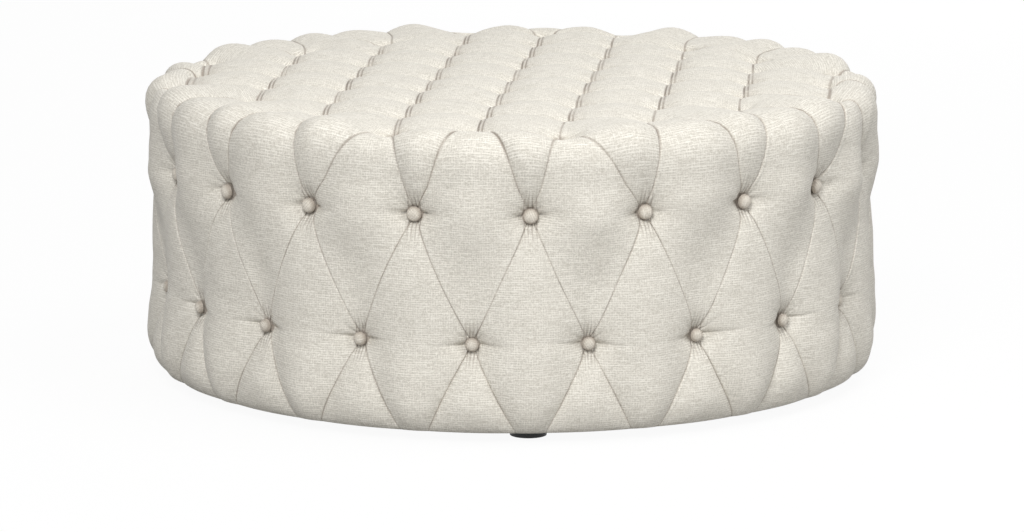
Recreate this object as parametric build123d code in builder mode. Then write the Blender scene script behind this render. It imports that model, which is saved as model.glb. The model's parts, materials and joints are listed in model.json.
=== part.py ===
"""Round button-tufted ottoman coffee table.

A timber drum stands on four low feet. Foam covers its top and its side, and one linen cover is drawn
down into the foam by covered buttons: a square grid of them on top, two staggered rings round the side.
Twine holds the top buttons down to the deck, and nails hold the side buttons to the wall.
Millimetres, +Z up, origin on the floor under the middle of the table.
"""

from build123d import *
from math import atan2, cos, degrees, hypot, pi, radians, sin
import os

os.makedirs("parts", exist_ok=True)

# Overall sizes
overall_diameter = 1016.0
overall_height = 419.0

# Tufting pattern: how many buttons each row of the top grid reaches out from its middle
top_pitch = 110.0
row_reach = {0: 4, 1: 4, 2: 3, 3: 2, 4: 1}
ring_count = 20
upper_ring_height = 303.0
lower_ring_height = 132.0

# Cover: what stands above the level of its button pockets, how much more on the shoulder, and its hem
top_crown = 38.0
top_seam_rise = 27.0
side_crown = 30.0
side_seam_rise = 19.0
rim_radius = 40.0
shoulder_share = 0.33
hem_height = 16.0
hem_radius = 490.0
hem_crown = 1.5
hem_opening_radius = 400.0
cover_thickness = 2.0
soft_gap = 0.5

# Seams of each kind: shares of the way along, and shares of the full rise there
top_seam_shares = ((0, 0), (0.5, 1), (1, 0))
rim_seam_shares = ((0, 0), (0.33, 0.95), (0.67, 0.95), (1, 0))
side_seam_shares = ((0, 0), (0.5, 1), (1, 0))
hem_seam_shares = ((0, 0), (0.6, 1))
hem_spread_share = 0.38

# Crowns: shares of the full crown from a corner pocket to the widest line of a pillow
top_crown_shares = (0, 0.95, 1)
rim_crown_shares = (0, 0.75, 1, 1)
side_crown_shares = (0, 1, 0.72)
skirt_crown_shares = (0.72, 1)
gusset_crown_shares = (0, 1)
rim_gusset_share = 0.12

# Covered buttons
button_diameter = 21.0
button_sides = 6
button_edge = 2.0
button_dome = 3.0
button_seat = 11.5

# Timber drum
deck_top = 333.0
deck_thickness = 18.0
deck_radius = 466.0
base_thickness = 18.0
base_radius = 466.0
base_opening_radius = 350.0
wall_thickness = 4.0
wall_inner_radius = 444.5
post_width = 45.0
post_count = 8
rail_width = 22.0
rail_height = 60.0
wood_gap = 0.2

# Twine of the top buttons, its holes in the deck and its staples, and the nails of the side buttons
twine_width = 1.6
twine_sides = 3
twine_hole = 6.0
hole_sides = 4
staple_length = 8.0
staple_wire = 1.2
deck_overhang_room = 5.0
nail_width = 2.0
nail_hold = 3.0

# Screws
screw_head = 9.0
screw_head_height = 3.0
screw_shank = 4.5
screw_length = 50.0
foot_screw_length = 25.0
screw_sides = 4

# Feet and dust cover
foot_height = 15.0
foot_diameter = 49.0
foot_circle_radius = 433.0
foot_count = 4
foot_first_angle = 9.0
foot_recess = 12.0
foot_recess_depth = 6.0
dust_cover_radius = 465.0

# Values worked out from the sizes above
side_radius = overall_diameter / 2 - side_crown
pocket_level = overall_height - top_crown
flat_radius = side_radius - rim_radius
rim_length = rim_radius * pi / 2
ring_step = 360 / ring_count
post_step = 360 / post_count
base_underside = hem_height + cover_thickness
base_top = base_underside + base_thickness
deck_underside = deck_top - deck_thickness
wall_outer_radius = wall_inner_radius + wall_thickness
post_inner_radius = wall_inner_radius - post_width
post_middle_radius = wall_inner_radius - post_width / 2
rail_offset = post_inner_radius * sin(radians(post_step / 2))
dust_cover_thickness = hem_height - foot_height
foam_depth = cover_thickness + soft_gap
foot_screw_start = foot_recess_depth - screw_head_height
foot_screw_tip = foot_screw_start + foot_screw_length
nail_tip_radius = wall_outer_radius - nail_hold
cut_margin = wall_thickness


def way_down_to(height):
    """Way along the pocket-level form, from the middle of the top down to a height on the side."""
    return flat_radius + rim_length + pocket_level - rim_radius - height


def grid_spot(i, j):
    """Spot of the top button in row i and place j: its way along the form, and its angle."""
    return top_pitch * hypot(i, j), degrees(atan2(j, i))


def between(a, b, share):
    """Spot part of the way from a to b: straight in plan over the top, at an even rate round the rim."""
    if a[0] + b[0] < 2 * flat_radius + rim_radius:
        x = (1 - share) * a[0] * cos(radians(a[1])) + share * b[0] * cos(radians(b[1]))
        y = (1 - share) * a[0] * sin(radians(a[1])) + share * b[0] * sin(radians(b[1]))
        return hypot(x, y), degrees(atan2(y, x))
    turn = (b[1] - a[1] + 180) % 360 - 180
    return a[0] + share * (b[0] - a[0]), a[1] + share * turn


def form_point(spot, top_lift, side_lift):
    """Point over a spot, lifted square to the form by an amount that changes from top to side.

    Halfway round the rim the lift is larger by the shoulder's share, which makes the rim squarer.
    """
    run, angle = spot
    lean = min(max((run - flat_radius) / rim_radius, 0), pi / 2)
    lift = top_lift * cos(lean) ** 2 + side_lift * sin(lean) ** 2
    lift *= 1 + shoulder_share * sin(2 * lean) ** 2
    radius = min(run, flat_radius) + (rim_radius + lift) * sin(lean)
    drop = rim_radius + max(run - flat_radius - rim_length, 0)
    height = pocket_level - drop + (rim_radius + lift) * cos(lean)
    return Vector(radius * cos(radians(angle)), radius * sin(radians(angle)), height)


def seam(a, b, shares):
    """Stations along the seam from spot a to spot b, each with its share of the seam's rise."""
    return [(between(a, b, way), rise) for way, rise in shares]


def pillow(left, right, crowns):
    """Sections of one pillow between its left and right seams, as (left, middle, right, rise, crown)."""
    sections = []
    for (start, rise), (end, _), crown in zip(left, right, crowns):
        sections.append((start, between(start, end, 0.5), end, rise, crown))
    return sections


def pillows(edge_height):
    """Sections of every pillow of the tufting, down to an edge at the given height."""
    hem_rise = (hem_radius - side_radius) / side_seam_rise
    hem_peak = (hem_radius + hem_crown - side_radius) / side_crown
    hem_seam = hem_seam_shares + ((1, hem_rise),)
    into_pocket = rim_crown_shares[::-1]
    skirt = skirt_crown_shares + (hem_peak,)
    gusset = gusset_crown_shares + (hem_peak,)

    buttons = top_grid()
    rim = rim_grid()
    upper, lower = ring_spots()
    edge = way_down_to(edge_height)
    spread = hem_spread_share * ring_step
    made = []

    for i, j in buttons:
        corners = (i, j), (i, j + 1), (i + 1, j), (i + 1, j + 1)
        if all(corner in buttons for corner in corners):
            a, b, c, d = (grid_spot(*corner) for corner in corners)
            left = seam(a, b, top_seam_shares) + seam(b, d, top_seam_shares)[1:]
            right = seam(a, c, top_seam_shares) + seam(c, d, top_seam_shares)[1:]
            made.append(pillow(left, right, top_crown_shares + top_crown_shares[-2::-1]))

    for k in range(ring_count):
        p, q = rim[k], rim[(k + 1) % ring_count]
        a, b = grid_spot(*p), grid_spot(*q)
        button = upper[k]
        left, right = seam(a, button, rim_seam_shares), seam(b, button, rim_seam_shares)
        if abs(p[0] - q[0]) + abs(p[1] - q[1]) == 1:
            start = between(a, b, 0.5)
            gusset_top = pillow(left, right, into_pocket)
            first = gusset_top[0]
            gusset_top[0] = (first[0], between(start, button, rim_gusset_share), *first[2:])
            made.append([(start, start, start, 1, 1)] + gusset_top)
        else:
            inner = min((p[0], q[1]), (q[0], p[1]), key=lambda spot: hypot(*spot))
            c = grid_spot(*inner)
            left = seam(c, a, top_seam_shares) + left[1:]
            right = seam(c, b, top_seam_shares) + right[1:]
            made.append(pillow(left, right, top_crown_shares + into_pocket[1:]))

    for k in range(ring_count):
        top, bottom = grid_spot(*rim[k]), lower[k]
        left = seam(top, upper[k - 1], rim_seam_shares) + seam(upper[k - 1], bottom, side_seam_shares)[1:]
        right = seam(top, upper[k], rim_seam_shares) + seam(upper[k], bottom, side_seam_shares)[1:]
        made.append(pillow(left, right, rim_crown_shares + side_crown_shares[-2::-1]))

    for k in range(ring_count):
        near, far = lower[k], lower[(k + 1) % ring_count]
        near_left, near_right = (edge, near[1] - spread), (edge, near[1] + spread)
        far_left = (edge, far[1] - spread)
        left = seam(upper[k], near, side_seam_shares) + seam(near, near_right, hem_seam)[1:]
        right = seam(upper[k], far, side_seam_shares) + seam(far, far_left, hem_seam)[1:]
        made.append(pillow(seam(near, near_left, hem_seam), seam(near, near_right, hem_seam), gusset))
        made.append(pillow(left, right, side_crown_shares + skirt[1:]))
    return made


def top_grid():
    """Row and place of every button of the top grid."""
    reach = max(row_reach)
    rows = range(-reach, reach + 1)
    return [(i, j) for i in rows for j in rows if abs(j) <= row_reach[abs(i)]]


def ring_spots():
    """Spots of the upper and of the lower ring of side buttons."""
    upper = [(way_down_to(upper_ring_height), (k + 0.5) * ring_step) for k in range(ring_count)]
    lower = [(way_down_to(lower_ring_height), k * ring_step) for k in range(ring_count)]
    return upper, lower


def rim_grid():
    """Row and place of the outermost grid buttons, in order round the rim from the +X side."""
    quarter = [(4, 0), (4, 1), (3, 2), (2, 3), (1, 4)]
    order = []
    for _ in range(4):
        order += quarter
        quarter = [(-j, i) for i, j in quarter]
    return order


def rung_points(section, depth):
    """Left end, crown and right end of a section, sunk below the outside of the cover by a depth."""
    left, middle, right, rise, crown = section
    seam_lifts = rise * top_seam_rise - depth, rise * side_seam_rise - depth
    crown_lifts = crown * top_crown - depth, crown * side_crown - depth
    ends = form_point(left, *seam_lifts), form_point(right, *seam_lifts)
    top = ends[0] if is_point(ends) else form_point(middle, *crown_lifts)
    return ends[0], top, ends[1]


def is_point(rung):
    """Whether the ends of a section have met in a point, at a corner of its pillow."""
    return (rung[0] - rung[-1]).length < soft_gap


def smooth_body():
    """Solid inside the outside of the cover: each pillow a ruled loft through arcs, seam to seam."""
    faces = []
    hem = []
    for sections in pillows(hem_height):
        rungs = []
        for section in sections:
            ends = rung_points(section, 0)
            rungs.append(Vertex(ends[0]) if is_point(ends) else Wire(ThreePointArc(*ends)))
        if isinstance(rungs[-1], Wire):
            hem += rungs[-1].edges()
        faces += Shell.make_loft(rungs, ruled=True).faces()
    faces.append(Face(Wire(hem)))
    return Solid(Shell(faces))


def faceted_body(edge_height, depth):
    """Solid that follows the cover from inside at a depth, with flat facets between the same seams.

    Each quarter is split along the diagonal that lies nearer the middle on the outside of the cover, so that
    bodies at different depths are split alike.
    """
    centre = Vector(0, 0, deck_top / 2)
    faces = []
    hem = []
    for sections in pillows(edge_height):
        rungs = [rung_points(section, depth) for section in sections]
        outside = [rung_points(section, 0) for section in sections]
        for corners, guide in zip(quads(rungs), quads(outside)):
            one, other = guide[0] + guide[2], guide[1] + guide[3]
            if (one / 2 - centre).length > (other / 2 - centre).length + soft_gap:
                corners = corners[1:] + corners[:1]
            faces += [corners[:3], [corners[0], corners[2], corners[3]]]
        if not is_point(rungs[-1]):
            hem.append(rungs[-1])
    hem.sort(key=lambda rung: degrees(atan2(rung[1].Y, rung[1].X)) % 360)
    rim = [point for rung in hem for point in rung[:2]]
    sound = [face for face in faces if is_open(face)]
    return Solid(Shell([flat_face(face) for face in sound] + [flat_face(rim)]))


def quads(rungs):
    """Corners of the quarters between successive rungs, left half before right half."""
    pairs = zip(rungs, rungs[1:])
    return [[up[k], up[k + 1], low[k + 1], low[k]] for up, low in pairs for k in (0, 1)]


def is_open(corners):
    """Whether three corners make a triangle and not a line or a point."""
    first, second, third = corners
    return (second - first).cross(third - first).length > soft_gap * soft_gap


def flat_face(corners):
    """Flat face with the given corners."""
    return Face(Wire(Polyline(*corners, close=True)))


def button_places(spots):
    """Places of covered buttons over their pockets, square to the form."""
    places = []
    for spot in spots:
        seat = form_point(spot, button_seat, button_seat)
        outward = seat - form_point(spot, 0, 0)
        along = Vector(-sin(radians(spot[1])), cos(radians(spot[1])), 0)
        places.append(Plane(seat, x_dir=along, z_dir=outward).location)
    return places


def underside_height(spot, x, y):
    """Height of the underside of a top button over its twine, less the twine's own width on the slope."""
    seat = form_point(spot, button_seat, button_seat)
    outward = seat - form_point(spot, 0, 0)
    slope = hypot(outward.X, outward.Y) / outward.Z
    offset = ((seat.X - x) * outward.X + (seat.Y - y) * outward.Y) / outward.Z
    return seat.Z + offset - twine_width * slope


def ring_planes(radius, spots, height):
    """Upright planes that face outward at a radius, one behind each side button."""
    planes = []
    for _, angle in spots:
        out = Vector(cos(radians(angle)), sin(radians(angle)), 0)
        along = Vector(-out.Y, out.X, 0)
        planes.append(Plane(out * radius + Vector(0, 0, height), x_dir=along, z_dir=out))
    return planes


def write(part, name):
    """Label a finished piece and write it to its own file."""
    part.label = name
    export_step(part, f"parts/{name}.step")


grid = top_grid()
grid_places = [(top_pitch * i, top_pitch * j) for i, j in grid]
upper_spots, lower_spots = ring_spots()
upper_planes = ring_planes(nail_tip_radius, upper_spots, upper_ring_height)
lower_planes = ring_planes(nail_tip_radius, lower_spots, lower_ring_height)

# Linen cover: sewn pillows outside, open below inside its turned-under hem
cover_outside = smooth_body()
cover_inside = faceted_body(base_underside, cover_thickness)
with BuildPart() as tufted_cover:
    add(cover_outside)
    add(cover_inside, mode=Mode.SUBTRACT)
    with BuildSketch(Plane.XY.offset(hem_height - cut_margin)):
        Circle(hem_opening_radius)
        with PolarLocations(foot_circle_radius, foot_count, foot_first_angle):
            RegularPolygon(screw_shank / 2, screw_sides)
    extrude(amount=cover_thickness + 2 * cut_margin, mode=Mode.SUBTRACT)
write(tufted_cover.part, "tufted_cover")

# Foam under the cover: a slab on the deck and a band round the drum
foam_form = faceted_body(base_underside + soft_gap, foam_depth)
with BuildPart() as top_foam:
    add(foam_form)
    split(bisect_by=Plane.XY.offset(deck_top + soft_gap), keep=Keep.TOP)
write(top_foam.part, "top_foam")

with BuildPart() as side_foam:
    add(foam_form)
    split(bisect_by=Plane.XY.offset(deck_top), keep=Keep.BOTTOM)
    with BuildSketch(Plane.XY.offset(hem_height)):
        Circle(wall_outer_radius + soft_gap)
    extrude(amount=deck_top, mode=Mode.SUBTRACT)
    with BuildSketch(Plane.XY.offset(deck_underside - deck_overhang_room)):
        Circle(deck_radius + soft_gap)
    extrude(amount=deck_top, mode=Mode.SUBTRACT)
    with BuildSketch(Plane.XY.offset(hem_height)):
        Circle(base_radius + soft_gap)
    extrude(amount=base_top + soft_gap - hem_height, mode=Mode.SUBTRACT)
write(side_foam.part, "side_foam")

# Covered buttons
with BuildPart() as button:
    with BuildSketch():
        RegularPolygon(button_diameter / 2, button_sides)
    extrude(amount=button_edge)
    with BuildSketch(Plane.XY.offset(button_edge)) as rim_sketch:
        RegularPolygon(button_diameter / 2, button_sides)
    loft(sections=[rim_sketch.sketch, Vertex(0, 0, button_edge + button_dome)])

reach = max(row_reach)
for row in range(-reach, reach + 1):
    row_places = button_places(grid_spot(*place) for place in grid if place[0] == row)
    with BuildPart() as top_button_row:
        with Locations(*row_places):
            add(button.part)
    write(top_button_row.part, f"top_button_row_{row + reach + 1}")

upper_places = button_places(upper_spots)
with BuildPart() as upper_side_buttons:
    with Locations(*upper_places):
        add(button.part)
write(upper_side_buttons.part, "upper_side_buttons")

lower_places = button_places(lower_spots)
with BuildPart() as lower_side_buttons:
    with Locations(*lower_places):
        add(button.part)
write(lower_side_buttons.part, "lower_side_buttons")

# Top deck: plywood disc with a hole under every top button and countersunk screws into the posts
with BuildPart() as top_deck:
    with BuildSketch(Plane.XY.offset(deck_underside)):
        Circle(deck_radius)
        with Locations(*grid_places):
            RegularPolygon(twine_hole / 2, hole_sides, mode=Mode.SUBTRACT)
    extrude(amount=deck_thickness)
    with BuildSketch(Plane.XY.offset(deck_underside)):
        with PolarLocations(post_middle_radius, post_count, post_step / 2):
            RegularPolygon(screw_shank / 2, screw_sides)
    extrude(amount=deck_thickness, mode=Mode.SUBTRACT)
    with BuildSketch(Plane.XY.offset(deck_top - screw_head_height)):
        with PolarLocations(post_middle_radius, post_count, post_step / 2):
            RegularPolygon(screw_head / 2, screw_sides)
    extrude(amount=screw_head_height, mode=Mode.SUBTRACT)
write(top_deck.part, "top_deck")

# Base ring: plywood ring that the posts, the wall and the feet are fixed to
with BuildPart() as base_ring:
    with BuildSketch(Plane.XY.offset(base_underside)):
        Circle(base_radius)
        Circle(base_opening_radius, mode=Mode.SUBTRACT)
        with PolarLocations(post_middle_radius, post_count, post_step / 2):
            RegularPolygon(screw_shank / 2, screw_sides, mode=Mode.SUBTRACT)
    extrude(amount=base_thickness)
    with BuildSketch(Plane.XY.offset(base_underside)):
        with PolarLocations(post_middle_radius, post_count, post_step / 2):
            RegularPolygon(screw_head / 2, screw_sides)
    extrude(amount=screw_head_height, mode=Mode.SUBTRACT)
    with BuildSketch(Plane.XY.offset(base_underside)):
        with PolarLocations(foot_circle_radius, foot_count, foot_first_angle):
            RegularPolygon(screw_shank / 2, screw_sides)
    extrude(amount=foot_screw_tip - base_underside, mode=Mode.SUBTRACT)
write(base_ring.part, "base_ring")

# Wall: thin plywood bent round the posts in two halves
for side, name in ((1, "wall_half_left"), (-1, "wall_half_right")):
    joint = Plane.XZ.rotated((0, 0, post_step / 2)).offset(-side * wood_gap / 2)
    with BuildPart() as wall_half:
        with BuildSketch(Plane.XY.offset(base_top)):
            Circle(wall_outer_radius)
            Circle(wall_inner_radius, mode=Mode.SUBTRACT)
        extrude(amount=deck_underside - base_top)
        split(bisect_by=joint, keep=Keep.BOTTOM if side > 0 else Keep.TOP)
    write(wall_half.part, name)

# Posts: square timbers between base and deck, rounded outside to the wall
for k in range(post_count):
    place = Plane.XY.rotated((0, 0, (k + 0.5) * post_step)).offset(base_top)
    with BuildPart() as post:
        with BuildSketch(place):
            with Locations((post_middle_radius, 0)):
                Rectangle(post_width, post_width)
            Circle(wall_inner_radius, mode=Mode.INTERSECT)
            with Locations((post_middle_radius, 0)):
                RegularPolygon(screw_shank / 2, screw_sides, mode=Mode.SUBTRACT)
        extrude(amount=deck_underside - base_top)
    write(post.part, f"post_{k + 1}")

# Deck rails: two each way between opposite posts, ends cut to the posts, halved where they cross
half_turn = radians(post_step / 2)
rail_edges = rail_offset - rail_width / 2, rail_offset + rail_width / 2
rail_ends = [(post_inner_radius - y * sin(half_turn)) / cos(half_turn) for y in rail_edges]
with BuildPart() as rail:
    with BuildSketch(Plane.XY.offset(deck_underside - rail_height)):
        with BuildLine():
            Polyline(
                (-rail_ends[0], rail_edges[0]),
                (rail_ends[0], rail_edges[0]),
                (rail_ends[1], rail_edges[1]),
                (-rail_ends[1], rail_edges[1]),
                close=True,
            )
        make_face()
    extrude(amount=rail_height)
for k in range(4):
    lap_level = deck_underside - rail_height / 2 if k % 2 == 0 else deck_underside - rail_height
    turned = rail.part.rotate(Axis.Z, 90 * k)
    with BuildPart() as deck_rail:
        add(turned)
        with BuildSketch(Plane.XY.offset(lap_level - wood_gap / 2).rotated((0, 0, 90 * k))):
            with Locations((-rail_offset, rail_offset), (rail_offset, rail_offset)):
                Rectangle(rail_width + wood_gap, rail_width + wood_gap)
        extrude(amount=(rail_height + wood_gap) / 2, mode=Mode.SUBTRACT)
    write(deck_rail.part, f"deck_rail_{k + 1}")

# Twine from each top button to the back of the deck, where a staple holds it
with BuildPart() as top_button_twine:
    for place, (x, y) in zip(grid, grid_places):
        with BuildSketch(Plane.XY.offset(deck_underside)):
            with Locations((x, y)):
                RegularPolygon(twine_width / 2, twine_sides)
        extrude(amount=underside_height(grid_spot(*place), x, y) - deck_underside)
write(top_button_twine.part, "top_button_twine")

with BuildPart() as twine_staples:
    with BuildSketch(Plane.XY.offset(deck_underside)):
        with Locations(*grid_places):
            Rectangle(staple_wire, staple_length)
    extrude(amount=-staple_wire)
write(twine_staples.part, "twine_staples")

# Nails from the side buttons into the wall
side_nail_length = side_radius + button_seat - nail_tip_radius
with BuildPart() as upper_button_nails:
    with BuildSketch(*upper_planes):
        Rectangle(nail_width, nail_width)
    extrude(amount=side_nail_length)
write(upper_button_nails.part, "upper_button_nails")

with BuildPart() as lower_button_nails:
    with BuildSketch(*lower_planes):
        Rectangle(nail_width, nail_width)
    extrude(amount=side_nail_length)
write(lower_button_nails.part, "lower_button_nails")


def screw(length):
    """Flat-headed screw that points down from the origin, its thread left plain."""
    with BuildPart() as made:
        with BuildSketch():
            RegularPolygon(screw_head / 2, screw_sides)
        extrude(amount=-screw_head_height)
        with BuildSketch(Plane.XY.offset(-screw_head_height)):
            RegularPolygon(screw_shank / 2, screw_sides)
        extrude(amount=screw_head_height - length)
    return made.part


# Screws
frame_screw = screw(screw_length)
with BuildPart() as deck_screws:
    with Locations(Plane.XY.offset(deck_top)):
        with PolarLocations(post_middle_radius, post_count, post_step / 2):
            add(frame_screw)
write(deck_screws.part, "deck_screws")

raised_screw = frame_screw.mirror(Plane.XY)
with BuildPart() as base_screws:
    with Locations(Plane.XY.offset(base_underside)):
        with PolarLocations(post_middle_radius, post_count, post_step / 2):
            add(raised_screw)
write(base_screws.part, "base_screws")

foot_screw = screw(foot_screw_length).mirror(Plane.XY)
with BuildPart() as foot_screws:
    with Locations(Plane.XY.offset(foot_screw_start)):
        with PolarLocations(foot_circle_radius, foot_count, foot_first_angle):
            add(foot_screw)
write(foot_screws.part, "foot_screws")

# Dust cover: thin cloth that closes the underside and laps the turned-under hem
with BuildPart() as dust_cover:
    with BuildSketch(Plane.XY.offset(foot_height)):
        Circle(dust_cover_radius)
        with PolarLocations(foot_circle_radius, foot_count, foot_first_angle):
            RegularPolygon(screw_shank / 2, screw_sides, mode=Mode.SUBTRACT)
    extrude(amount=dust_cover_thickness)
write(dust_cover.part, "dust_cover")

# Feet: low round glides, each with its screw in a recess
with BuildPart() as feet:
    with BuildSketch():
        with PolarLocations(foot_circle_radius, foot_count, foot_first_angle):
            Circle(foot_diameter / 2)
            RegularPolygon(screw_shank / 2, screw_sides, mode=Mode.SUBTRACT)
    extrude(amount=foot_height)
    with BuildSketch():
        with PolarLocations(foot_circle_radius, foot_count, foot_first_angle):
            Circle(foot_recess / 2)
    extrude(amount=foot_recess_depth, mode=Mode.SUBTRACT)
write(feet.part, "feet")
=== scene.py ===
"""Round button-tufted ottoman coffee table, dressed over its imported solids.

Metres, +Z up, origin on the floor under the middle of the table, as in the solids.
"""

import json
import logging
from collections.abc import Callable
from dataclasses import dataclass, field
from enum import Enum

import bmesh
import bpy
import numpy as np
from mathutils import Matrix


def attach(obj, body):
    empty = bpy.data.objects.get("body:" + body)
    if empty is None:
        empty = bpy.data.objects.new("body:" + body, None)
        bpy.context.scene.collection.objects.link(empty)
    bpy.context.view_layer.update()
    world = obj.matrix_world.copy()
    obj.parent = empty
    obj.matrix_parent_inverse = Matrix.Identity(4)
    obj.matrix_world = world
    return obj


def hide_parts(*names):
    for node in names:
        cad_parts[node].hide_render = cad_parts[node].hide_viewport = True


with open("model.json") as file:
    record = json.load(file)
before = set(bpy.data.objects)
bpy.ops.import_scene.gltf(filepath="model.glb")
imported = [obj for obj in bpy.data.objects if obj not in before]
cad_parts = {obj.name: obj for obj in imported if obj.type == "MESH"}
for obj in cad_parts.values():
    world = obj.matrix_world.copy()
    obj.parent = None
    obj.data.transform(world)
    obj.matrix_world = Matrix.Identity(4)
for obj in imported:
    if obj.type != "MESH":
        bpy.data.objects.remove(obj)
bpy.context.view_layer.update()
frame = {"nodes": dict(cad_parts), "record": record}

logging.basicConfig(level=logging.INFO, format="%(message)s")
log = logging.getLogger("ottoman")

Array = np.ndarray


class Weave(Enum):
    """Which way the cloth's threads run over a pillow."""

    SQUARE = "threads along X and Y, on the top"
    ROUND = "threads along and across the rim, on the side"


@dataclass(frozen=True)
class Form:
    """Pocket-level form under the cover: flat top, rounded rim, straight side.

    A spot on it is a pair of chart coordinates: its direction seen from above, at a distance from the
    middle equal to the way along the form. On the flat top the chart is the plan itself.
    """

    pocket_level: float = 0.381
    flat_radius: float = 0.438
    rim_radius: float = 0.040
    rim_bow: float = 0.20
    bow_skew: float = 0.55
    seam_stray: float = 0.0022
    top_stray: float = 0.7
    second_wave: float = 0.35
    stray_key: tuple[float, float, float] = (91.7, 57.3, 131.0)

    @property
    def side_start(self) -> float:
        """Way along the form to where the straight side starts."""
        return self.flat_radius + self.rim_radius * np.pi / 2

    @property
    def side_radius(self) -> float:
        """Radius of the straight side."""
        return self.flat_radius + self.rim_radius

    def way_down_to(self, height: float) -> float:
        """Way along the form from the middle of the top to a height on the side."""
        return self.side_start + self.pocket_level - self.rim_radius - height

    def lean(self, chart: Array) -> Array:
        """Angle between the form's outward direction and straight up, from 0 on top to a right angle."""
        run = np.linalg.norm(chart, axis=-1)
        return np.clip((run - self.flat_radius) / self.rim_radius, 0, np.pi / 2)

    def height(self, chart: Array) -> Array:
        """Height of the form itself: level, then the cosine of the rim's turn, then straight down.

        Args:
            chart: Chart coordinates, shape (..., 2).

        Returns:
            Heights, shape (...).
        """
        run = np.linalg.norm(chart, axis=-1)
        lean = self.lean(chart)
        down = np.maximum(run - self.side_start, 0)
        return self.pocket_level - self.rim_radius * (1 - np.cos(lean)) - down

    def way(self, chart: Array) -> Array:
        """Level unit directions away from the middle at chart spots."""
        return chart / np.maximum(np.linalg.norm(chart, axis=-1), 1e-9)[..., None]

    def place(self, chart: Array, lift: Array) -> Array:
        """Points over chart spots, lifted square to the form.

        radius = min(run, flat) + (rim + lift) sin(lean), height = form height + lift cos(lean).

        Args:
            chart: Chart coordinates, shape (..., 2).
            lift: Distance out from the form, shape (...).

        Returns:
            Points, shape (..., 3).
        """
        run = np.linalg.norm(chart, axis=-1)
        lean = self.lean(chart)
        radius = np.minimum(run, self.flat_radius) + (self.rim_radius + lift) * np.sin(lean)
        height = self.height(chart) + lift * np.cos(lean)
        return np.concatenate([self.way(chart) * radius[..., None], height[..., None]], axis=-1)

    def outward(self, chart: Array) -> Array:
        """Unit directions square to the form at chart spots: sin(lean) outwards, cos(lean) up."""
        lean = self.lean(chart)
        return np.concatenate([self.way(chart) * np.sin(lean)[..., None], np.cos(lean)[..., None]], axis=-1)

    def between(self, start: Array, end: Array, share: Array) -> Array:
        """Chart spots along a seam: straight in plan over the top, at an even rate round the rim.

        A seam from the rim to the side bows by rim_bow sin(pi share ** bow_skew) of its turn. A seam at one
        height, which is the hem, doesn't stray.

        Args:
            start: Chart coordinates of the seam's start.
            end: Chart coordinates of the seam's end.
            share: Shares of the way along, shape (n,).

        Returns:
            Chart coordinates, shape (n, 2).
        """
        runs = np.hypot(*start), np.hypot(*end)
        if sum(runs) < 2 * self.flat_radius + self.rim_radius:
            line = start + share[:, None] * (end - start)
            return line + self.stray(start, end, share, self.top_stray)
        angles = np.arctan2(start[1], start[0]), np.arctan2(end[1], end[0])
        turn = (angles[1] - angles[0] + np.pi) % (2 * np.pi) - np.pi
        run = runs[0] + share * (runs[1] - runs[0])
        bow = self.rim_bow if runs[0] < self.side_start < runs[1] else 0.0
        angle = angles[0] + (share + bow * np.sin(np.pi * share**self.bow_skew)) * turn
        line = np.stack([run * np.cos(angle), run * np.sin(angle)], axis=-1)
        return line + self.stray(start, end, share, 0.0 if np.isclose(*runs) else 1.0)

    def stray(self, start: Array, end: Array, share: Array, size: float) -> Array:
        """Sideways stray of a seam, the same whichever end it is drawn from.

        The stray is c sin(pi share) + second_wave d sin(pi share) cos(2 pi share), with c and d sines of the
        seam's middle, so that they differ from seam to seam.

        Args:
            start: Chart coordinates of the seam's start.
            end: Chart coordinates of the seam's end.
            share: Shares of the way along, shape (n,).
            size: Share of the full stray.

        Returns:
            Moves in the chart, shape (n, 2).
        """
        across = np.array([start[1] - end[1], end[0] - start[0]]) / np.hypot(*(end - start))
        flip = 1.0 if tuple(start) < tuple(end) else -1.0
        mean = (start + end) / 2
        bend = np.sin(np.pi * share)
        first = np.sin(self.stray_key[0] * mean[0] + self.stray_key[1] * mean[1]) * bend
        second = self.second_wave * np.sin(self.stray_key[2] * mean[0]) * bend * np.cos(2 * np.pi * share)
        return self.seam_stray * size * flip * (first + second)[:, None] * across


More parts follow.
